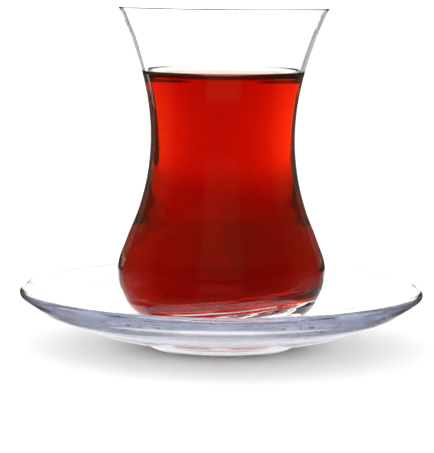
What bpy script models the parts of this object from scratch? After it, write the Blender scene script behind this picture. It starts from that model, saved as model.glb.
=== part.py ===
"""A waisted tea glass filled with black tea, standing on its clear glass saucer.

Metres, +Z up. The origin is on the floor, under the middle of the saucer's foot ring.
Run with: blender --background --python part.py
"""

import math

import bpy

# The glass, with each height measured from its own foot
RIM_RADIUS = 0.0300
GLASS_HEIGHT = 0.0880
WAIST_RADIUS = 0.02065
WAIST_HEIGHT = 0.0505
BELLY_RADIUS = 0.0298
BELLY_HEIGHT = 0.0139
FOOT_RADIUS = 0.0218
LIP_WALL = 0.0014
WAIST_WALL = 0.0016
BELLY_WALL = 0.0020
DIMPLE_RADIUS = 0.0180
DIMPLE_DEPTH = 0.0007

# The hollow's floor is cast a little out of level, so the base is thicker on one side
FLOOR_HEIGHT = 0.0038
FLOOR_TILT = math.radians(4.8)
TILT_FADES_FROM = 0.0060
TILT_FADES_TO = 0.0165

# The tea, with its level measured from the foot of the glass
TEA_LEVEL = 0.0690
TEA_EDGE_RISE = 0.0010
TEA_EDGE_WIDTH = 0.0022

# The saucer, with each height measured from the floor
SAUCER_RADIUS = 0.0578
SAUCER_HEIGHT = 0.0170
EDGE_THICKNESS = 0.0026
WELL_RADIUS = 0.0290
WELL_HEIGHT = 0.0087
RING_RADIUS = 0.0204
RING_WIDTH = 0.0024
RECESS_HEIGHT = 0.0034

# Pieces that touch are kept this far apart
CLEARANCE = 0.0003
GLASS_STANDS_AT = WELL_HEIGHT + CLEARANCE

# How finely the round shapes are divided
TURN_STEPS = 48
MERGE_DISTANCE = 0.00001

CLEAR_GLASS = (0.90, 0.94, 0.95, 1.0)
BLACK_TEA = (0.55, 0.02, 0.005, 1.0)


def clear_scene():
    for obj in list(bpy.data.objects):
        bpy.data.objects.remove(obj, do_unlink=True)


def see_through(name, color, roughness, ior):
    """A clear Principled material of the given colour."""
    made = bpy.data.materials.new(name)
    made.use_nodes = True
    made.diffuse_color = color
    shader = made.node_tree.nodes["Principled BSDF"]
    shader.inputs["Base Color"].default_value = color
    shader.inputs["Roughness"].default_value = roughness
    shader.inputs["Metallic"].default_value = 0.0
    shader.inputs["Transmission Weight"].default_value = 1.0
    shader.inputs["IOR"].default_value = ior
    return made


def curve_through(stations, steps):
    """Points on one smooth curve through the stations, steps of them from each station to the next."""
    first = tuple(2 * a - b for a, b in zip(stations[0], stations[1]))
    last = tuple(2 * a - b for a, b in zip(stations[-1], stations[-2]))
    padded = [first, *stations, last]
    points = []
    for i in range(1, len(padded) - 2):
        for step in range(steps):
            points.append(between(*padded[i - 1 : i + 3], step / steps))
    return [*points, stations[-1]]


def between(before, start, stop, after, share):
    """The point at a share of the way from start to stop, on a curve led by their neighbours."""
    gaps = [math.dist(before, start), math.dist(start, stop), math.dist(stop, after)]
    point = []
    for a, b, c, d in zip(before, start, stop, after):
        leave = (b - a) / gaps[0] - (c - a) / (gaps[0] + gaps[1]) + (c - b) / gaps[1]
        arrive = (c - b) / gaps[1] - (d - b) / (gaps[1] + gaps[2]) + (d - c) / gaps[2]
        point.append(
            (2 * share**3 - 3 * share**2 + 1) * b
            + (share**3 - 2 * share**2 + share) * leave * gaps[1]
            + (3 * share**2 - 2 * share**3) * c
            + (share**3 - share**2) * arrive * gaps[1]
        )
    return tuple(point)


def arc(radius, height, size, start_degrees, end_degrees, steps):
    """Points round a corner of a profile, centred at a radius and a height, both its ends included."""
    angles = [
        math.radians(start_degrees + (end_degrees - start_degrees) * i / steps)
        for i in range(steps + 1)
    ]
    return [(radius + size * math.cos(a), height + size * math.sin(a)) for a in angles]


def outside_of_glass():
    """Radius and height down the outside of the glass, from just under the lip to the edge of the foot."""
    stations = [
        (RIM_RADIUS, GLASS_HEIGHT - LIP_WALL / 2),
        (0.02765, 0.0826),
        (0.02535, 0.0762),
        (0.02300, 0.0686),
        (0.02135, 0.0605),
        (WAIST_RADIUS, WAIST_HEIGHT),
        (0.02140, 0.0410),
        (0.02395, 0.0305),
        (0.02730, 0.0220),
        (BELLY_RADIUS, BELLY_HEIGHT),
        (0.02860, 0.0068),
        (0.02560, 0.0016),
        (FOOT_RADIUS, 0.0),
    ]
    return curve_through(stations, 2)


def wall_at(height):
    """How thick the side wall is, measured level, at a height above the foot."""
    if height > WAIST_HEIGHT:
        share = (height - WAIST_HEIGHT) / (GLASS_HEIGHT - WAIST_HEIGHT)
        return WAIST_WALL + (LIP_WALL - WAIST_WALL) * share
    share = (WAIST_HEIGHT - height) / (WAIST_HEIGHT - BELLY_HEIGHT)
    return WAIST_WALL + (BELLY_WALL - WAIST_WALL) * share


def inside_of_glass():
    """Radius and height down the inside of the glass, from just under the lip to the middle of the floor."""
    side = [(r - wall_at(h), h) for r, h in outside_of_glass() if h > BELLY_HEIGHT]
    floor = [
        (BELLY_RADIUS - BELLY_WALL, BELLY_HEIGHT),
        (0.0263, FLOOR_HEIGHT + 0.0041),
        (0.0235, FLOOR_HEIGHT + 0.0013),
        (0.0190, FLOOR_HEIGHT + 0.0002),
    ]
    return [*side, *curve_through(floor, 2), (0.0, FLOOR_HEIGHT)]


def glass_profile():
    """The section of the glass: up the inside, over the round lip, down the outside and under the foot."""
    lip_middle = RIM_RADIUS - LIP_WALL / 2
    lip = arc(lip_middle, GLASS_HEIGHT - LIP_WALL / 2, LIP_WALL / 2, 180, 0, 4)
    foot = [(DIMPLE_RADIUS, 0.0), (0.8 * DIMPLE_RADIUS, DIMPLE_DEPTH), (0.0, DIMPLE_DEPTH)]
    return [*inside_of_glass()[:0:-1], *lip[:-1], *outside_of_glass(), *foot]


def tea_profile():
    """The section of the tea: level on top, drawn up a little at the wall, then down inside the glass."""
    inside = inside_of_glass()
    wetted = [point for point in inside if point[1] < TEA_LEVEL - TEA_EDGE_RISE]
    above, below = inside[len(inside) - len(wetted) - 1], wetted[0]
    share = (TEA_LEVEL + TEA_EDGE_RISE - below[1]) / (above[1] - below[1])
    edge_radius = below[0] + (above[0] - below[0]) * share - CLEARANCE
    top = [
        (edge_radius - TEA_EDGE_WIDTH * (1 - part), TEA_LEVEL + TEA_EDGE_RISE * part**3)
        for part in (0.0, 0.5, 0.8, 1.0)
    ]
    side = [drawn_in(inside, inside.index(point)) for point in wetted]
    return [(0.0, TEA_LEVEL), *top, *side]


def drawn_in(outline, i):
    """Point i of an outline that runs down an inside, moved into the hollow by the clearance."""
    before = outline[i - 1]
    after = outline[min(i + 1, len(outline) - 1)]
    run, rise = after[0] - before[0], after[1] - before[1]
    length = math.hypot(run, rise)
    radius = outline[i][0] + CLEARANCE * rise / length
    height = outline[i][1] - CLEARANCE * run / length
    return (max(radius, 0.0), height)


def saucer_profile():
    """The section of the saucer: out over its upper side, round its edge, and back under to the recess."""
    upper = curve_through(
        [
            (WELL_RADIUS, WELL_HEIGHT),
            (0.0335, 0.0092),
            (0.0390, 0.0101),
            (0.0450, 0.0113),
            (0.0500, 0.0131),
            (0.0535, 0.0151),
        ],
        2,
    )
    half = EDGE_THICKNESS / 2
    edge = arc(SAUCER_RADIUS - half, SAUCER_HEIGHT - half, half, 140, -30, 6)
    under = curve_through(
        [
            (0.0552, 0.0131),
            (0.0510, 0.0103),
            (0.0450, 0.0080),
            (0.0408, 0.0069),
            (0.0372, 0.0051),
            (0.0310, 0.0036),
            (0.0245, 0.0019),
            (RING_RADIUS + 0.0010, 0.0006),
            (RING_RADIUS, 0.0),
        ],
        2,
    )
    ring_inside = RING_RADIUS - RING_WIDTH
    recess = [
        (ring_inside, 0.0),
        (ring_inside - 0.0012, 0.6 * RECESS_HEIGHT),
        (ring_inside - 0.0030, RECESS_HEIGHT),
        (0.0, RECESS_HEIGHT),
    ]
    return [(0.0, WELL_HEIGHT), *upper, *edge, *under, *recess]


def turned(name, profile, stands_at, finish, collection):
    """One solid turned about Z: its profile, read from the top down its outer side, with a Screw modifier."""
    mesh = bpy.data.meshes.new(name)
    points = [(radius, 0.0, height) for radius, height in profile]
    mesh.from_pydata(points, [(i, i + 1) for i in range(len(points) - 1)], [])
    mesh.materials.append(finish)
    obj = bpy.data.objects.new(name, mesh)
    obj.location.z = stands_at
    collection.objects.link(obj)
    screw = obj.modifiers.new("turn", "SCREW")
    screw.axis = "Z"
    screw.steps = TURN_STEPS
    screw.render_steps = TURN_STEPS
    screw.use_merge_vertices = True
    screw.merge_threshold = MERGE_DISTANCE
    screw.use_smooth_shade = True
    return obj


def tilt_cage():
    """A box-shaped cage whose +X end is lifted and whose -X end is lowered, by the floor's tilt."""
    cage_data = bpy.data.lattices.new("floor_tilt")
    cage_data.points_u = cage_data.points_v = cage_data.points_w = 2
    cage_data.interpolation_type_u = "KEY_LINEAR"
    cage_data.interpolation_type_v = "KEY_LINEAR"
    cage_data.interpolation_type_w = "KEY_LINEAR"
    cage = bpy.data.objects.new("floor_tilt", cage_data)
    size = 2 * GLASS_HEIGHT
    cage.scale = (size, size, size)
    cage.location.z = GLASS_STANDS_AT
    for point in cage_data.points:
        point.co_deform.z += point.co.x * math.tan(FLOOR_TILT)
    bpy.context.scene.collection.objects.link(cage)
    return cage


def tilt_floor(obj, cage, hollow_points):
    """Slants the lowest points of the hollow by the cage, less and less towards the belly."""
    group = obj.vertex_groups.new(name="floor")
    for i in hollow_points:
        height = obj.data.vertices[i].co.z
        share = (TILT_FADES_TO - height) / (TILT_FADES_TO - TILT_FADES_FROM)
        share = min(max(share, 0.0), 1.0)
        group.add([i], share * share * (3 - 2 * share), "REPLACE")
    slant = obj.modifiers.new("slant", "LATTICE")
    slant.object = cage
    slant.vertex_group = group.name


def build():
    clear_scene()
    collection = bpy.data.collections.new("tea_glass_on_saucer")
    bpy.context.scene.collection.children.link(collection)
    clear_glass = see_through("clear_glass", CLEAR_GLASS, 0.03, 1.52)
    black_tea = see_through("black_tea", BLACK_TEA, 0.05, 1.33)

    turned("saucer", saucer_profile(), 0.0, clear_glass, collection)
    glass = turned("glass", glass_profile(), GLASS_STANDS_AT, clear_glass, collection)
    tea = turned("tea", tea_profile(), GLASS_STANDS_AT, black_tea, collection)

    cage = tilt_cage()
    tilt_floor(glass, cage, range(len(inside_of_glass())))
    tilt_floor(tea, cage, range(len(tea.data.vertices)))


build()
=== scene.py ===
"""Looks of a waisted glass of black tea on its clear saucer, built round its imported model. Metres."""

import math

import bpy
from mathutils import Matrix, Vector


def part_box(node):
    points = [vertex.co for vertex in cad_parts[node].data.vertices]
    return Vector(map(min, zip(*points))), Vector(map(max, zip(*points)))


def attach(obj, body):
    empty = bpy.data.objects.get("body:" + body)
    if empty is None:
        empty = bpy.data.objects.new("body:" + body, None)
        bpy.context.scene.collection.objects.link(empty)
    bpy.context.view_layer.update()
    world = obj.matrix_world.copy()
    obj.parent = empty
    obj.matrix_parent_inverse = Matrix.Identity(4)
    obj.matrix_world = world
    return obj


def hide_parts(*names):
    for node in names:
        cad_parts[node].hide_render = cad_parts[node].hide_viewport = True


bl_info = {
    "name": "Tea Glass on Saucer",
    "version": (1, 0, 0),
    "blender": (4, 5, 0),
    "location": "3D View > Sidebar > Tea Glass",
    "description": "Builds a waisted glass of black tea on a clear saucer, with its studio",
    "category": "Add Mesh",
}

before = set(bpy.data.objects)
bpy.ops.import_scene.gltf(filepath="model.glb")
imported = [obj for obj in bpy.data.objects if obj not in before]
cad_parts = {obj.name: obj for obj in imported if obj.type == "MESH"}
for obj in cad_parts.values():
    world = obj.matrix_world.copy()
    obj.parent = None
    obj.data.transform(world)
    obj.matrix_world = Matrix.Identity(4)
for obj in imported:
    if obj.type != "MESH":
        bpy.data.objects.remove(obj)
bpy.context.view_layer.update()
GLASS_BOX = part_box("glass")
SAUCER_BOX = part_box("saucer")

BODY = "root"
SENSOR_WIDTH = 36.0
LIGHT_BOUNCES = 40
ROUND_OFF = 6

# Fineness of the turned pieces
PROFILE_STEPS = 12
GLASS_SEGMENTS = 192
SAUCER_SEGMENTS = 240

# Heights above the foot of the glass between which the slant of the hollow's floor fades out
SLANT_BELOW = 0.0060
SLANT_ABOVE = 0.0165


def known(value):
    """A size read from the frame, without the last digits that its file format adds."""
    return round(value, ROUND_OFF)


# Shader and geometry maths as Python expressions


class Value:
    """An output of a node tree, with which numbers and other outputs can be added, multiplied and so on."""

    def __init__(self, tree, socket):
        self.tree = tree
        self.socket = socket

    def maths(self, operation, *others):
        return self.tree.add("ShaderNodeMath", {"operation": operation}, [self, *others])

    def __add__(self, other):
        return self.maths("ADD", other)

    __radd__ = __add__

    def __mul__(self, other):
        return self.maths("MULTIPLY", other)

    __rmul__ = __mul__

    def __sub__(self, other):
        return self.maths("SUBTRACT", other)

    def __rsub__(self, other):
        return self.tree.add("ShaderNodeMath", {"operation": "SUBTRACT"}, [other, self])

    def __truediv__(self, other):
        return self.maths("DIVIDE", other)

    def __rtruediv__(self, other):
        return self.tree.add("ShaderNodeMath", {"operation": "DIVIDE"}, [other, self])

    def smooth_step(self, low, high):
        """0 below low, 1 above high, smooth between; the other way round where high is below low."""
        return self.tree.add(
            "ShaderNodeMapRange",
            {"interpolation_type": "SMOOTHSTEP"},
            {"Value": self, "From Min": low, "From Max": high, "To Min": 0.0, "To Max": 1.0},
            "Result",
        )


class Tree:
    """A node tree and the one method that adds nodes to it."""

    def __init__(self, node_tree):
        self.nodes = node_tree.nodes
        self.links = node_tree.links

    def node(self, kind, settings=None, sockets=None):
        """A new node: its settings first, then its sockets, by name or in order, as values or links."""
        made = self.nodes.new(kind)
        for name, value in (settings or {}).items():
            setattr(made, name, value)
        pairs = sockets.items() if isinstance(sockets, dict) else enumerate(sockets or [])
        for key, value in pairs:
            if isinstance(value, Value):
                self.links.new(value.socket, made.inputs[key])
            elif value is not None:
                made.inputs[key].default_value = value
        return made

    def add(self, kind, settings=None, sockets=None, output=0):
        """One output of a new node."""
        return Value(self, self.node(kind, settings, sockets).outputs[output])

    def take(self, node, output):
        return Value(self, node.outputs[output])

    def mixed(self, share, first, second):
        """A colour between two others."""
        made = self.node("ShaderNodeMix", {"data_type": "RGBA"}, {0: share, 6: first, 7: second})
        return Value(self, made.outputs[2])


# Curves that the pieces are turned from


def curve_through(stations, steps):
    """Points on one smooth curve through the stations, steps of them from each station to the next."""
    first = tuple(2 * a - b for a, b in zip(stations[0], stations[1]))
    last = tuple(2 * a - b for a, b in zip(stations[-1], stations[-2]))
    padded = [first, *stations, last]
    points = []
    for i in range(1, len(padded) - 2):
        for step in range(steps):
            points.append(between(*padded[i - 1 : i + 3], step / steps))
    return [*points, stations[-1]]


def between(before, start, stop, after, share):
    """The point at a share of the way from start to stop, on a curve led by their neighbours."""
    gaps = [math.dist(before, start), math.dist(start, stop), math.dist(stop, after)]
    point = []
    for a, b, c, d in zip(before, start, stop, after):
        leave = (b - a) / gaps[0] - (c - a) / (gaps[0] + gaps[1]) + (c - b) / gaps[1]
        arrive = (c - b) / gaps[1] - (d - b) / (gaps[1] + gaps[2]) + (d - c) / gaps[2]
        point.append(
            (2 * share**3 - 3 * share**2 + 1) * b
            + (share**3 - 2 * share**2 + share) * leave * gaps[1]
            + (3 * share**2 - 2 * share**3) * c
            + (share**3 - share**2) * arrive * gaps[1]
        )
    return tuple(point)


def arc(centre, half_width, half_height, start_degrees, end_degrees, steps):
    """Points round a corner of a profile, both its ends included."""
    angles = [
        math.radians(start_degrees + (end_degrees - start_degrees) * i / steps)
        for i in range(steps + 1)
    ]
    return [
        (centre[0] + half_width * math.cos(a), centre[1] + half_height * math.sin(a))
        for a in angles
    ]


def raised(points, height):
    return [(r, h + height) for r, h in points]


# A profile turned about Z, with the floor of its hollow slanted and its surface faintly wavy


def turned_tree():
    """The tree that turns a profile of edges into a closed round piece."""
    group = bpy.data.node_groups.new("turned_piece", "GeometryNodeTree")
    sockets = group.interface
    sockets.new_socket("Profile", in_out="INPUT", socket_type="NodeSocketGeometry")
    for name, kind, default in (
        ("Segments", "NodeSocketInt", 192),
        ("Floor Tilt", "NodeSocketFloat", 0.0),
        ("Tilt Fades From", "NodeSocketFloat", 0.0),
        ("Tilt Fades To", "NodeSocketFloat", 1.0),
        ("Waviness", "NodeSocketFloat", 0.0),
        ("Wave Length", "NodeSocketFloat", 0.02),
        ("Seed", "NodeSocketFloat", 0.0),
    ):
        made = sockets.new_socket(name, in_out="INPUT", socket_type=kind)
        made.default_value = default
    sockets.new_socket("Material", in_out="INPUT", socket_type="NodeSocketMaterial")
    sockets.new_socket("Piece", in_out="OUTPUT", socket_type="NodeSocketGeometry")

    tree = Tree(group)
    given = tree.node("NodeGroupInput")
    profile = tree.take(given, "Profile")
    segments = tree.take(given, "Segments")
    rows = tree.add(
        "GeometryNodeAttributeDomainSize", {"component": "MESH"}, {"Geometry": profile}
    )
    grid = tree.add(
        "GeometryNodeMeshGrid", None, {"Vertices X": segments + 1, "Vertices Y": rows}
    )
    index = tree.add("GeometryNodeInputIndex")
    row = index.maths("MODULO", rows)
    column = ((index - row) / rows).maths("ROUND")
    angle = column * -math.tau / segments

    at_row = tree.add(
        "GeometryNodeSampleIndex",
        {"data_type": "FLOAT_VECTOR", "domain": "POINT"},
        {"Geometry": profile, "Value": tree.add("GeometryNodeInputPosition"), "Index": row},
    )
    parts = tree.node("ShaderNodeSeparateXYZ", None, [at_row])
    radius = tree.take(parts, "X")
    height = tree.take(parts, "Z")
    in_hollow = tree.add(
        "GeometryNodeSampleIndex",
        {"data_type": "FLOAT", "domain": "POINT"},
        {
            "Geometry": profile,
            "Value": tree.add(
                "GeometryNodeInputNamedAttribute", {"data_type": "FLOAT"}, {"Name": "hollow"}
            ),
            "Index": row,
        },
    )
    across = radius * angle.maths("COSINE")
    slant = height.smooth_step(
        tree.take(given, "Tilt Fades To"), tree.take(given, "Tilt Fades From")
    )
    lift = across * tree.take(given, "Floor Tilt").maths("TANGENT") * slant * in_hollow
    place = tree.add(
        "ShaderNodeCombineXYZ", None, [across, radius * angle.maths("SINE"), height + lift]
    )
    turned = tree.add(
        "GeometryNodeSetPosition", None, {"Geometry": grid, "Position": place}
    )
    merged = tree.add(
        "GeometryNodeMergeByDistance", None, {"Geometry": turned, "Distance": 1e-6}
    )

    wave = tree.add(
        "ShaderNodeTexNoise",
        {"noise_dimensions": "4D"},
        {
            "Vector": tree.add("GeometryNodeInputPosition"),
            "W": tree.take(given, "Seed"),
            "Scale": 1 / tree.take(given, "Wave Length"),
            "Detail": 1.0,
        },
    )
    offset = tree.add(
        "ShaderNodeVectorMath",
        {"operation": "SCALE"},
        {
            "Vector": tree.add("GeometryNodeInputNormal"),
            "Scale": (wave - 0.5) * 2 * tree.take(given, "Waviness"),
        },
    )
    wavy = tree.add("GeometryNodeSetPosition", None, {"Geometry": merged, "Offset": offset})
    smooth = tree.add("GeometryNodeSetShadeSmooth", None, {"Geometry": wavy})
    real = tree.add("GeometryNodeRealizeInstances", None, {"Geometry": smooth})
    done = tree.add(
        "GeometryNodeSetMaterial",
        None,
        {"Geometry": real, "Material": tree.take(given, "Material")},
    )
    tree.node("NodeGroupOutput", None, {"Piece": done})
    return group


def turned_piece(name, profile, hollow, material, sizes):
    """A plain mesh piece turned from a profile. hollow tells which points line the inside of the glass."""
    mesh = bpy.data.meshes.new(name + "_profile")
    mesh.from_pydata([(r, 0.0, h) for r, h in profile], [], [])
    marks = mesh.attributes.new("hollow", "FLOAT", "POINT")
    for mark, inside in zip(marks.data, hollow):
        mark.value = 1.0 if inside else 0.0
    guide = bpy.data.objects.new(name + "_profile", mesh)
    bpy.context.scene.collection.objects.link(guide)
    group = bpy.data.node_groups.get("turned_piece") or turned_tree()
    turn = guide.modifiers.new("turn", "NODES")
    turn.node_group = group
    for item in group.interface.items_tree:
        if item.in_out == "INPUT" and item.name in sizes:
            turn[item.identifier] = sizes[item.name]
        elif item.in_out == "INPUT" and item.name == "Material":
            turn[item.identifier] = material
    graph = bpy.context.evaluated_depsgraph_get()
    made = bpy.data.meshes.new_from_object(guide.evaluated_get(graph))
    made.name = name
    piece = bpy.data.objects.new(name, made)
    bpy.context.scene.collection.objects.link(piece)
    bpy.data.objects.remove(guide, do_unlink=True)
    return piece


# Sizes and colours that a user may change


class GlassSizes(bpy.types.PropertyGroup):
    """Sizes of the tea glass, each height measured from its own foot."""

    stands_at: bpy.props.FloatProperty(
        name="Stands At",
        description="Height of the glass's foot above the floor",
        default=known(GLASS_BOX[0].z),
        unit="LENGTH",
    )
    height: bpy.props.FloatProperty(
        name="Height",
        description="From the foot to the top of the lip",
        default=known(GLASS_BOX[1].z - GLASS_BOX[0].z),
        unit="LENGTH",
    )
    rim_radius: bpy.props.FloatProperty(
        name="Rim Radius",
        description="Outer radius of the lip",
        default=known(GLASS_BOX[1].x),
        unit="LENGTH",
    )
    waist_radius: bpy.props.FloatProperty(
        name="Waist Radius",
        description="Outer radius where the glass is narrowest",
        default=0.02065,
        unit="LENGTH",
    )
    waist_height: bpy.props.FloatProperty(
        name="Waist Height",
        description="Where the glass is narrowest",
        default=0.0505,
        unit="LENGTH",
    )
    belly_radius: bpy.props.FloatProperty(
        name="Belly Radius",
        description="Outer radius where the lower part is widest",
        default=0.0298,
        unit="LENGTH",
    )
    belly_height: bpy.props.FloatProperty(
        name="Belly Height",
        description="Where the lower part is widest",
        default=0.0139,
        unit="LENGTH",
    )
    foot_radius: bpy.props.FloatProperty(
        name="Foot Radius",
        description="Radius of the foot that the glass stands on",
        default=0.0218,
        unit="LENGTH",
    )
    lip_wall: bpy.props.FloatProperty(
        name="Lip Wall",
        description="Thickness of the round lip",
        default=0.0014,
        unit="LENGTH",
    )
    lip_drop: bpy.props.FloatProperty(
        name="Lip Drop",
        description="How far below its top the lip is widest",
        default=0.00035,
        unit="LENGTH",
    )
    waist_wall: bpy.props.FloatProperty(
        name="Waist Wall",
        description="Thickness of the wall at the waist",
        default=0.0016,
        unit="LENGTH",
    )
    belly_wall: bpy.props.FloatProperty(
        name="Belly Wall",
        description="Thickness of the wall at the belly",
        default=0.0020,
        unit="LENGTH",
    )
    floor_height: bpy.props.FloatProperty(
        name="Floor Height",
        description="Thickness of the base in the middle",
        default=0.0038,
        unit="LENGTH",
    )
    floor_tilt: bpy.props.FloatProperty(
        name="Floor Tilt",
        description="How far out of level the floor of the hollow is cast",
        default=math.radians(4.8),
        subtype="ANGLE",
    )
    waviness: bpy.props.FloatProperty(
        name="Waviness",
        description="Height of the faint waves that pressing leaves in the surface",
        default=0.000006,
        unit="LENGTH",
    )


class TeaSizes(bpy.types.PropertyGroup):
    """Sizes and colour of the tea."""

    level: bpy.props.FloatProperty(
        name="Level",
        description="Height of the tea's level surface above the foot of the glass",
        default=0.0683,
        unit="LENGTH",
    )
    edge_rise: bpy.props.FloatProperty(
        name="Edge Rise",
        description="How far the tea climbs the wall",
        default=0.0019,
        unit="LENGTH",
    )
    edge_reach: bpy.props.FloatProperty(
        name="Edge Reach",
        description="Scale on which the climb fades away from the wall",
        default=0.0016,
        unit="LENGTH",
    )
    into_wall: bpy.props.FloatProperty(
        name="Into Wall",
        description="How far the tea reaches into the glass, so that no gap shows",
        default=0.00012,
        unit="LENGTH",
    )
    strength: bpy.props.FloatProperty(
        name="Strength",
        description="How much light each metre of tea takes up",
        default=330.0,
    )
    tint: bpy.props.FloatVectorProperty(
        name="Tint",
        description="Colour that the tea lets through",
        default=(0.909, 0.461, 0.0),
        subtype="COLOR",
    )


class SaucerSizes(bpy.types.PropertyGroup):
    """Sizes of the saucer, each height measured from the floor."""

    radius: bpy.props.FloatProperty(
        name="Radius",
        description="Radius of the saucer's edge",
        default=known(SAUCER_BOX[1].x),
        unit="LENGTH",
    )
    height: bpy.props.FloatProperty(
        name="Height",
        description="From the floor to the top of the edge",
        default=known(SAUCER_BOX[1].z),
        unit="LENGTH",
    )
    edge_thickness: bpy.props.FloatProperty(
        name="Edge Thickness",
        description="Thickness of the round edge",
        default=0.0026,
        unit="LENGTH",
    )
    well_radius: bpy.props.FloatProperty(
        name="Well Radius",
        description="Radius of the level well in the middle",
        default=0.0290,
        unit="LENGTH",
    )
    well_height: bpy.props.FloatProperty(
        name="Well Height",
        description="Height of the well, which carries the glass",
        default=0.0087,
        unit="LENGTH",
    )
    ring_radius: bpy.props.FloatProperty(
        name="Foot Ring Radius",
        description="Outer radius of the foot ring",
        default=0.0204,
        unit="LENGTH",
    )
    ring_width: bpy.props.FloatProperty(
        name="Foot Ring Width",
        description="Width of the foot ring",
        default=0.0024,
        unit="LENGTH",
    )
    recess_height: bpy.props.FloatProperty(
        name="Recess Height",
        description="How far the underside is drawn up inside the foot ring",
        default=0.0034,
        unit="LENGTH",
    )
    waviness: bpy.props.FloatProperty(
        name="Waviness",
        description="Height of the faint waves that pressing leaves in the surface",
        default=0.00003,
        unit="LENGTH",
    )


class StudioLook(bpy.types.PropertyGroup):
    """The floor, the light and the camera."""

    table_radius: bpy.props.FloatProperty(
        name="Table Radius",
        description="Radius of the pale table top",
        default=0.31,
        unit="LENGTH",
    )
    backdrop: bpy.props.FloatProperty(
        name="Backdrop",
        description="Brightness of the white backdrop",
        default=2.0,
    )
    table_glow: bpy.props.FloatProperty(
        name="Table Glow",
        description="Brightness of the table as it shows through the glass",
        default=1.0,
    )
    overhead: bpy.props.FloatProperty(
        name="Overhead",
        description="Brightness of the soft light above",
        default=1.26,
    )
    white: bpy.props.FloatProperty(
        name="White",
        description="Brightness of what the camera sees beyond the table",
        default=1.05,
    )
    focal_length: bpy.props.FloatProperty(
        name="Focal Length",
        description="Focal length of the camera",
        default=175.0,
        unit="CAMERA",
    )


# Profiles


def outside_of_glass(sizes, steps):
    """Down the outside of the glass, from just under the lip to the edge of the foot."""
    return curve_through(
        [
            (sizes.rim_radius, sizes.height - sizes.lip_drop),
            (0.02765, 0.0826),
            (0.02535, 0.0762),
            (0.02300, 0.0686),
            (0.02135, 0.0605),
            (sizes.waist_radius, sizes.waist_height),
            (0.02140, 0.0410),
            (0.02395, 0.0305),
            (0.02730, 0.0220),
            (sizes.belly_radius, sizes.belly_height),
            (0.02860, 0.0068),
            (0.02560, 0.0016),
            (sizes.foot_radius, 0.0),
        ],
        steps,
    )


def wall_at(sizes, height):
    """How thick the side wall is, measured level, at a height above the foot."""
    if height > sizes.waist_height:
        share = (height - sizes.waist_height) / (sizes.height - sizes.waist_height)
        return sizes.waist_wall + (sizes.lip_wall - sizes.waist_wall) * share
    share = (sizes.waist_height - height) / (sizes.waist_height - sizes.belly_height)
    return sizes.waist_wall + (sizes.belly_wall - sizes.waist_wall) * share


def inside_of_glass(sizes, steps):
    """Down the inside of the glass, from just under the lip to the middle of the floor."""
    side = [
        (r - wall_at(sizes, h), h)
        for r, h in outside_of_glass(sizes, steps)
        if h > sizes.belly_height
    ]
    floor = [
        (sizes.belly_radius - sizes.belly_wall, sizes.belly_height),
        (0.0263, sizes.floor_height + 0.0041),
        (0.0235, sizes.floor_height + 0.0013),
        (0.0190, sizes.floor_height + 0.0002),
        (0.0100, sizes.floor_height),
        (0.0, sizes.floor_height),
    ]
    return [*side, *curve_through(floor, steps)]


class BuildGlass(bpy.types.Operator):
    """Build the clear waisted glass"""

    bl_idname = "tea_glass.build_glass"
    bl_label = "Build Glass"

    def execute(self, context):
        sizes = context.scene.tea_glass
        half = sizes.lip_wall / 2
        outside = outside_of_glass(sizes, PROFILE_STEPS)
        inside = inside_of_glass(sizes, PROFILE_STEPS)[:0:-1]
        middle = (sizes.rim_radius - half, sizes.height - sizes.lip_drop)
        lip = arc(middle, half, sizes.lip_drop, 180, 0, 16)[:-1]
        dimple = curve_through(
            [(0.0195, 0.00005), (0.0180, 0.0003), (0.0145, 0.0007), (0.0, 0.0009)], 6
        )
        profile = [*inside, *lip, *outside, *dimple]
        hollow = [i < len(inside) for i in range(len(profile))]
        piece = turned_piece(
            "glass_body",
            raised(profile, sizes.stands_at),
            hollow,
            clear_glass(),
            {
                "Segments": GLASS_SEGMENTS,
                "Floor Tilt": sizes.floor_tilt,
                "Tilt Fades From": sizes.stands_at + SLANT_BELOW,
                "Tilt Fades To": sizes.stands_at + SLANT_ABOVE,
                "Waviness": sizes.waviness,
                "Wave Length": 0.016,
                "Seed": 1.0,
            },
        )
        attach(piece, BODY)
        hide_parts("glass")
        return {"FINISHED"}


class PourTea(bpy.types.Operator):
    """Fill the glass with black tea"""

    bl_idname = "tea_glass.pour_tea"
    bl_label = "Pour Tea"

    def execute(self, context):
        glass = context.scene.tea_glass
        tea = context.scene.tea_glass_tea
        inside = inside_of_glass(glass, PROFILE_STEPS)
        top = tea.level + tea.edge_rise
        wetted = [point for point in inside if point[1] < top]
        above, below = inside[len(inside) - len(wetted) - 1], wetted[0]
        share = (top - below[1]) / (above[1] - below[1])
        edge_radius = below[0] + (above[0] - below[0]) * share
        side = [
            moved_out(inside, len(inside) - len(wetted) + i, tea.into_wall)
            for i in range(len(wetted))
        ]
        steps, last_before_edge, crowding = 36, 0.997, 2.5
        surface = [(0.0, tea.level)]
        for share in (*(i / steps for i in range(1, steps)), last_before_edge, 1.0):
            rise = tea.edge_rise * share**crowding
            radius = edge_radius - distance_drawn(tea, rise)
            surface.append((radius, tea.level + rise))
        shoulder = (edge_radius + tea.into_wall, top)
        profile = [*surface, shoulder, *side[1:]]
        piece = turned_piece(
            "tea_fill",
            raised(profile, glass.stands_at),
            [i > len(surface) for i in range(len(profile))],
            black_tea(tea),
            {
                "Segments": GLASS_SEGMENTS,
                "Floor Tilt": glass.floor_tilt,
                "Tilt Fades From": glass.stands_at + SLANT_BELOW,
                "Tilt Fades To": glass.stands_at + SLANT_ABOVE,
            },
        )
        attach(piece, BODY)
        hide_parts("tea")
        return {"FINISHED"}


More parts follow.
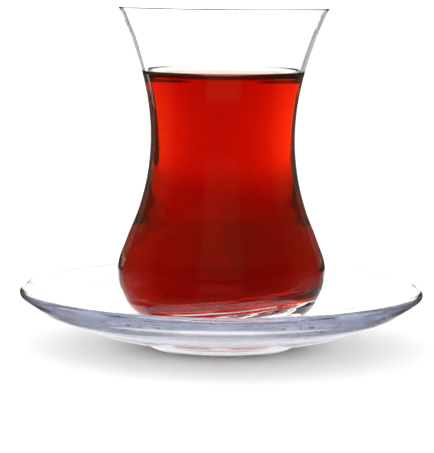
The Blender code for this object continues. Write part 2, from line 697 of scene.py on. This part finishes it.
def distance_drawn(tea, rise):
    """How far from the wall the surface is at a rise above the tea's level, as the wall draws it up."""
    ends = [
        math.acosh(2 * tea.edge_reach / height) - math.sqrt(4 - (height / tea.edge_reach) ** 2)
        for height in (rise, tea.edge_rise)
    ]
    return tea.edge_reach * (ends[0] - ends[1])


def moved_out(outline, i, distance):
    """Point i of an outline that runs down an inside, moved into the wall by a distance."""
    before = outline[i - 1]
    after = outline[min(i + 1, len(outline) - 1)]
    run, rise = after[0] - before[0], after[1] - before[1]
    length = math.hypot(run, rise)
    radius = outline[i][0] - distance * rise / length
    height = outline[i][1] + distance * run / length
    return (radius if i < len(outline) - 1 else 0.0, height)


class PressSaucer(bpy.types.Operator):
    """Build the clear saucer"""

    bl_idname = "tea_glass.press_saucer"
    bl_label = "Press Saucer"

    def execute(self, context):
        sizes = context.scene.tea_glass_saucer
        steps = 8
        upper = curve_through(
            [
                (sizes.well_radius - 0.0020, sizes.well_height),
                (sizes.well_radius, sizes.well_height),
                (0.0335, 0.0092),
                (0.0390, 0.0101),
                (0.0450, 0.0113),
                (0.0500, 0.0131),
                (0.0535, 0.0151),
            ],
            steps,
        )
        half = sizes.edge_thickness / 2
        edge = arc((sizes.radius - half, sizes.height - half), half, half, 140, -30, 24)
        under = curve_through(
            [
                (0.0552, 0.0131),
                (0.0510, 0.0103),
                (0.0450, 0.0080),
                (0.0408, 0.0069),
                (0.0372, 0.0051),
                (0.0310, 0.0036),
                (0.0245, 0.0019),
                (sizes.ring_radius + 0.0010, 0.0006),
                (sizes.ring_radius, 0.0),
            ],
            steps,
        )
        ring_inside = sizes.ring_radius - sizes.ring_width
        recess = curve_through(
            [
                (ring_inside, 0.0),
                (ring_inside - 0.0006, 0.25 * sizes.recess_height),
                (ring_inside - 0.0018, 0.85 * sizes.recess_height),
                (ring_inside - 0.0040, sizes.recess_height),
                (0.0, sizes.recess_height),
            ],
            steps,
        )
        profile = [(0.0, sizes.well_height), *upper, *edge, *under, *recess]
        piece = turned_piece(
            "saucer_dish",
            profile,
            [False] * len(profile),
            clear_glass(),
            {
                "Segments": SAUCER_SEGMENTS,
                "Waviness": sizes.waviness,
                "Wave Length": 0.022,
                "Seed": 4.0,
            },
        )
        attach(piece, BODY)
        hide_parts("saucer")
        return {"FINISHED"}


# Materials


def new_material(name):
    """An empty material and its Tree."""
    material = bpy.data.materials.new(name)
    material.use_nodes = True
    material.node_tree.nodes.clear()
    return material, Tree(material.node_tree)


def clear_glass():
    """Clear pressed glass: faint streaks, finger smudges and a trace of colour in the thick parts."""
    found = bpy.data.materials.get("clear_glass_finish")
    if found:
        return found
    material, tree = new_material("clear_glass_finish")
    place = tree.take(tree.node("ShaderNodeTexCoord"), "Object")
    smudge = tree.add(
        "ShaderNodeTexNoise", None, {"Vector": place, "Scale": 60.0, "Detail": 3.0}
    )
    roughness = smudge.smooth_step(0.55, 0.8) * 0.02
    streak = tree.add(
        "ShaderNodeTexNoise", None, {"Vector": place, "Scale": 35.0, "Detail": 2.0}
    )
    bump = tree.add(
        "ShaderNodeBump", None, {"Strength": 0.05, "Distance": 0.0005, "Height": streak}, "Normal"
    )
    shader = tree.add(
        "ShaderNodeBsdfPrincipled",
        None,
        {
            "Base Color": (1.0, 1.0, 1.0, 1.0),
            "Roughness": roughness,
            "IOR": 1.52,
            "Transmission Weight": 1.0,
            "Normal": bump,
        },
    )
    volume = tree.add(
        "ShaderNodeVolumeAbsorption", None, {"Color": (0.0, 0.07, 0.32, 1.0), "Density": 8.5}
    )
    tree.node("ShaderNodeOutputMaterial", None, {"Surface": shader, "Volume": volume})
    return material


def black_tea(tea):
    """Black tea, whose colour comes from how far the light has to go through it."""
    material, tree = new_material("black_tea_finish")
    place = tree.take(tree.node("ShaderNodeTexCoord"), "Object")
    film = tree.add(
        "ShaderNodeTexNoise", None, {"Vector": place, "Scale": 90.0, "Detail": 3.0}
    )
    shader = tree.add(
        "ShaderNodeBsdfPrincipled",
        None,
        {
            "Base Color": (1.0, 1.0, 1.0, 1.0),
            "Roughness": film.smooth_step(0.5, 0.8) * 0.02,
            "IOR": 1.333,
            "Transmission Weight": 1.0,
        },
    )
    volume = tree.add(
        "ShaderNodeVolumeAbsorption", None, {"Color": (*tea.tint, 1.0), "Density": tea.strength}
    )
    tree.node("ShaderNodeOutputMaterial", None, {"Surface": shader, "Volume": volume})
    return material


def table_white():
    """White, matt table top."""
    material, tree = new_material("table_white_finish")
    shader = tree.add(
        "ShaderNodeBsdfPrincipled",
        None,
        {"Base Color": (0.9, 0.9, 0.9, 1.0), "Roughness": 1.0, "Specular IOR Level": 0.0},
    )
    tree.node("ShaderNodeOutputMaterial", None, {"Surface": shader})
    return material


# Studio


class Aim:
    """Where a ray of light comes from, in degrees: its azimuth from straight behind the glass towards the
    right, how far that is turned to either side, and its elevation above level.
    """

    def __init__(self, tree):
        direction = tree.take(tree.node("ShaderNodeTexCoord"), "Generated")
        parts = tree.node("ShaderNodeSeparateXYZ", None, [direction])
        across, away, up = (tree.take(parts, axis) for axis in ("X", "Y", "Z"))
        self.azimuth = across.maths("ARCTAN2", away) * math.degrees(1)
        self.turned = self.azimuth.maths("ABSOLUTE")
        self.elevation = up.maths("ARCSINE") * math.degrees(1)


def brightened(azimuth):
    """How much brighter the backdrop is to the sides, and a little more so to the left."""
    to_sides, to_left = 0.5, 0.0025
    return (1 + to_sides * azimuth.maths("ABSOLUTE").smooth_step(4, 44)) * (1 - to_left * azimuth)


def light_behind(look, aim):
    """The bright backdrop between two dark upright boards, and the table in front of it."""
    board_glow = 0.2
    right = (aim.azimuth - 0.22 * aim.elevation).smooth_step(37.3, 40.3)
    left = (aim.azimuth + 0.17 * aim.elevation).smooth_step(-45.8, -49.5)
    boards = (left + right) * aim.turned.smooth_step(78, 72) * aim.elevation.smooth_step(14, 10)
    lit = look.backdrop * brightened(aim.azimuth) * aim.elevation.smooth_step(-13, -10.5)
    lit = lit + look.table_glow * aim.elevation.smooth_step(-10.5, -13)
    return lit * (1 - boards) + board_glow * boards


def light_before(aim):
    """The dim room before the glass, with a faint softbox low down and a fainter one higher up."""
    softbox = aim.turned.smooth_step(150, 156)
    patch = softbox * aim.elevation.smooth_step(-36, -33) * aim.elevation.smooth_step(-22, -25)
    strip = softbox * aim.elevation.smooth_step(-4, 4)
    room = 0.02 + 0.08 * patch + 0.04 * strip + 0.03 * aim.elevation.smooth_step(15, 30)
    return room + 0.09 * aim.elevation.smooth_step(-42, -58)


def light_thrown_back(aim, behind, in_front, inside):
    """What light finds that the glass has reflected once or twice, and how far that is warm in colour: mostly
    a dim room, but the backdrop through a narrow opening, fainter beside it, and a lighter zone above.
    """
    narrow = aim.turned.smooth_step(16, 9) * aim.elevation.smooth_step(14, 10)
    wide = inside * aim.turned.smooth_step(40, 33) * aim.elevation.smooth_step(14, 10)
    above = aim.turned.smooth_step(60, 40) * aim.elevation.smooth_step(10, 18)
    glance = aim.elevation.smooth_step(11, 14) * aim.elevation.smooth_step(32, 24)
    glance = glance * aim.turned.smooth_step(34, 24)
    opening = narrow + (1 - narrow) * 0.18 * wide
    light = opening * behind + above * (0.9 + 2.6 * glance)
    light = light + (1 - opening) * (in_front * light_before(aim) + 0.06 * (1 - in_front))
    return light, (1 - narrow) * (1 - wide) * (1 - above)


def light_led_round(aim, in_front, deep):
    """What light finds that thick glass has reflected three times or more: in the saucer alone, or deep in
    the base of the glass as well.
    """
    high = aim.turned.smooth_step(34, 22) * aim.elevation.smooth_step(12, 18)
    high = high * aim.elevation.smooth_step(56, 48)
    ends = aim.turned.smooth_step(46, 52) * aim.turned.smooth_step(66, 60)
    ends = ends * aim.elevation.smooth_step(8, 12) * aim.elevation.smooth_step(28, 23)
    steep = aim.elevation.smooth_step(52, 57)
    below = aim.elevation.smooth_step(-25, -35)
    dip = aim.elevation.smooth_step(27, 30) * aim.elevation.smooth_step(36, 34)
    dip = dip * aim.turned.smooth_step(30, 20)
    in_saucer = 1.2 * (1 - 0.55 * dip) * (1 - 0.65 * ends) * (1 - 0.75 * steep)
    in_saucer = in_saucer * (1 - 0.75 * in_front) * (1 - 0.7 * below)
    in_base = 1.45 + 3.5 * high
    return in_saucer * (1 - deep) + in_base * deep


def studio_world(look):
    """A studio made by rule, not by lamps. The camera sees plain white. Light that goes straight through the
    glass finds the backdrop, light that the glass has reflected finds other surroundings by how often it was
    reflected, and the table is lit evenly from above, less where glass stands between.
    """
    world = bpy.data.worlds.new("studio")
    world.use_nodes = True
    world.node_tree.nodes.clear()
    tree = Tree(world.node_tree)
    aim = Aim(tree)
    rays = tree.node("ShaderNodeLightPath")
    is_camera = tree.take(rays, "Is Camera Ray")
    is_diffuse = tree.take(rays, "Is Diffuse Ray")
    mirrored = tree.take(rays, "Glossy Depth")
    crossings = tree.take(rays, "Transmission Depth")
    shaded = tree.take(rays, "Diffuse Depth").maths("GREATER_THAN", 0.5)
    led_round = mirrored.maths("GREATER_THAN", 2.5)
    thrown_back = mirrored.maths("GREATER_THAN", 0.5) * (1 - led_round)
    inside = crossings.maths("GREATER_THAN", 0.5)
    deep = crossings.maths("GREATER_THAN", 3.5)

    in_front = aim.turned.smooth_step(86, 100)
    behind = light_behind(look, aim)
    straight = (1 - in_front) * behind + in_front * look.table_glow
    returned, warm = light_thrown_back(aim, behind, in_front, inside)
    seen = straight * (1 - thrown_back - led_round) + thrown_back * returned
    seen = seen + led_round * light_led_round(aim, in_front, deep)
    through = 1.45 - 0.85 * mirrored.maths("GREATER_THAN", 0.5)
    on_table = look.overhead * (through * (1 - is_diffuse) + is_diffuse)
    strength = (1 - shaded) * seen + shaded * on_table
    strength = is_camera * look.white + (1 - is_camera) * strength
    warmth = thrown_back * warm * (1 - shaded) * (1 - is_camera)
    colour = tree.mixed(warmth, (1.0, 1.0, 1.0, 1.0), (1.0, 0.78, 0.32, 1.0))
    background = tree.add("ShaderNodeBackground", None, {"Color": colour, "Strength": strength})
    tree.node("ShaderNodeOutputWorld", None, {"Surface": background})
    return world


def glowing_paper_light(look):
    """Painted light: paper that glows in place of the lit table, dimmer near the glass as painted shade and
    brighter further back, and brighter again where it stands up.
    """
    material, tree = new_material("glowing_paper_painted_light")
    place = tree.take(tree.node("ShaderNodeTexCoord"), "Object")
    distance = tree.add("ShaderNodeVectorMath", {"operation": "LENGTH"}, [place], "Value")
    parts = tree.node("ShaderNodeSeparateXYZ", None, [place])
    azimuth = tree.take(parts, "X").maths("ARCTAN2", tree.take(parts, "Y")) * math.degrees(1)
    far = look.backdrop * brightened(azimuth)
    # Painted shade: the glow is dimmer near the glass and rises further back to the backdrop's brightness.
    glow = look.table_glow + (far - look.table_glow) * distance.smooth_step(0.06, 0.28)
    # Painted light: the standing paper glows brighter.
    glow = glow + 0.35 * tree.take(parts, "Z").smooth_step(0.0, 0.002)
    shade = tree.add("ShaderNodeCombineColor", None, [glow, glow, glow])
    shader = tree.add(
        "ShaderNodeBsdfPrincipled",
        None,
        {
            "Base Color": (0.0, 0.0, 0.0, 1.0),
            "Specular IOR Level": 0.0,
            "Emission Color": shade,
            "Emission Strength": 1.0,
        },
    )
    tree.node("ShaderNodeOutputMaterial", None, {"Surface": shader})
    return material


def table_top(look):
    """The round table, which shows to the camera but not in the glass."""
    bpy.ops.mesh.primitive_circle_add(vertices=128, radius=look.table_radius, fill_type="NGON")
    table = bpy.context.object
    table.name = "table_top"
    table.data.materials.append(table_white())
    table.visible_glossy = False
    table.visible_transmission = False


def lit_paper(look):
    """Paper that glows as painted light, showing only in the glass in place of the lit table: a sheet on the
    table behind it and a low one standing up.
    """
    outline = [
        (0.036, -0.01),
        (0.036, 0.05),
        (0.10, 0.10),
        (0.105, 0.16),
        (0.13, 0.205),
        (0.20, 0.31),
        (-0.29, 0.31),
        (-0.15, 0.18),
        (-0.08, 0.09),
        (-0.036, 0.05),
        (-0.036, -0.01),
    ]
    upright_radius = 0.075
    upright_heights = {0: 0.0225, 8: 0.024, 16: 0.028, 24: 0.031, 38: 0.034}
    points = [(x, y, 0.0) for x, y in outline]
    faces = [tuple(range(len(outline)))]
    for azimuth, height in upright_heights.items():
        x = upright_radius * math.sin(math.radians(azimuth))
        y = upright_radius * math.cos(math.radians(azimuth))
        points += [(x, y, 0.0), (x, y, height)]
    for i in range(len(outline), len(points) - 2, 2):
        faces.append((i, i + 2, i + 3, i + 1))
    mesh = bpy.data.meshes.new("lit_paper")
    mesh.from_pydata(points, [], faces)
    mesh.materials.append(glowing_paper_light(look))
    paper = bpy.data.objects.new("lit_paper", mesh)
    bpy.context.scene.collection.objects.link(paper)
    paper.visible_camera = False
    paper.visible_diffuse = False
    paper.visible_glossy = False
    paper.visible_shadow = False


def studio_camera(look):
    """The camera, a little above the rim, looking slightly down and leaning a little to one side."""
    data = bpy.data.cameras.new("studio_camera")
    data.sensor_width = SENSOR_WIDTH
    data.lens = look.focal_length
    data.clip_start = 0.01
    data.clip_end = 20.0
    camera = bpy.data.objects.new("studio_camera", data)
    bpy.context.scene.collection.objects.link(camera)
    place = Vector((0.0, -0.6265, 0.1108))
    pitch = math.radians(6.966)
    yaw = math.radians(-0.128)
    roll = math.radians(0.586)
    ahead = Vector(
        (math.sin(yaw) * math.cos(pitch), math.cos(yaw) * math.cos(pitch), -math.sin(pitch))
    )
    level = Vector((math.cos(yaw), -math.sin(yaw), 0.0))
    upward = level.cross(ahead)
    right = level * math.cos(roll) + upward * math.sin(roll)
    top = upward * math.cos(roll) - level * math.sin(roll)
    turn = Matrix((right, top, -ahead)).transposed()
    camera.matrix_world = Matrix.Translation(place) @ turn.to_4x4()
    return camera


class SetStudio(bpy.types.Operator):
    """Set up the table, the light and the camera"""

    bl_idname = "tea_glass.set_studio"
    bl_label = "Set Studio"

    def execute(self, context):
        look = context.scene.tea_glass_studio
        table_top(look)
        lit_paper(look)
        context.scene.world = studio_world(look)
        context.scene.camera = studio_camera(look)
        context.scene.view_settings.view_transform = "Standard"
        cycles = context.scene.cycles
        cycles.max_bounces = LIGHT_BOUNCES
        cycles.transmission_bounces = LIGHT_BOUNCES
        cycles.glossy_bounces = LIGHT_BOUNCES
        cycles.sample_clamp_indirect = 8.0
        return {"FINISHED"}


class TeaGlassPanel(bpy.types.Panel):
    """Lists the steps and the sizes"""

    bl_idname = "VIEW3D_PT_tea_glass"
    bl_label = "Tea Glass"
    bl_space_type = "VIEW_3D"
    bl_region_type = "UI"
    bl_category = "Tea Glass"

    def draw(self, context):
        for step in STEPS:
            self.layout.operator(step.bl_idname)
        for name in SETTINGS:
            group = getattr(context.scene, name)
            box = self.layout.box()
            for size in group.__annotations__:
                box.prop(group, size)


SETTINGS = {
    "tea_glass": GlassSizes,
    "tea_glass_tea": TeaSizes,
    "tea_glass_saucer": SaucerSizes,
    "tea_glass_studio": StudioLook,
}
STEPS = (BuildGlass, PourTea, PressSaucer, SetStudio)
CLASSES = (*SETTINGS.values(), *STEPS, TeaGlassPanel)


def register():
    for cls in CLASSES:
        bpy.utils.register_class(cls)
    for name, cls in SETTINGS.items():
        setattr(bpy.types.Scene, name, bpy.props.PointerProperty(type=cls))


def unregister():
    for name in SETTINGS:
        delattr(bpy.types.Scene, name)
    for cls in reversed(CLASSES):
        bpy.utils.unregister_class(cls)


def main():
    register()
    bpy.ops.tea_glass.build_glass()
    bpy.ops.tea_glass.pour_tea()
    bpy.ops.tea_glass.press_saucer()
    bpy.ops.tea_glass.set_studio()


if __name__ == "__main__":
    main()
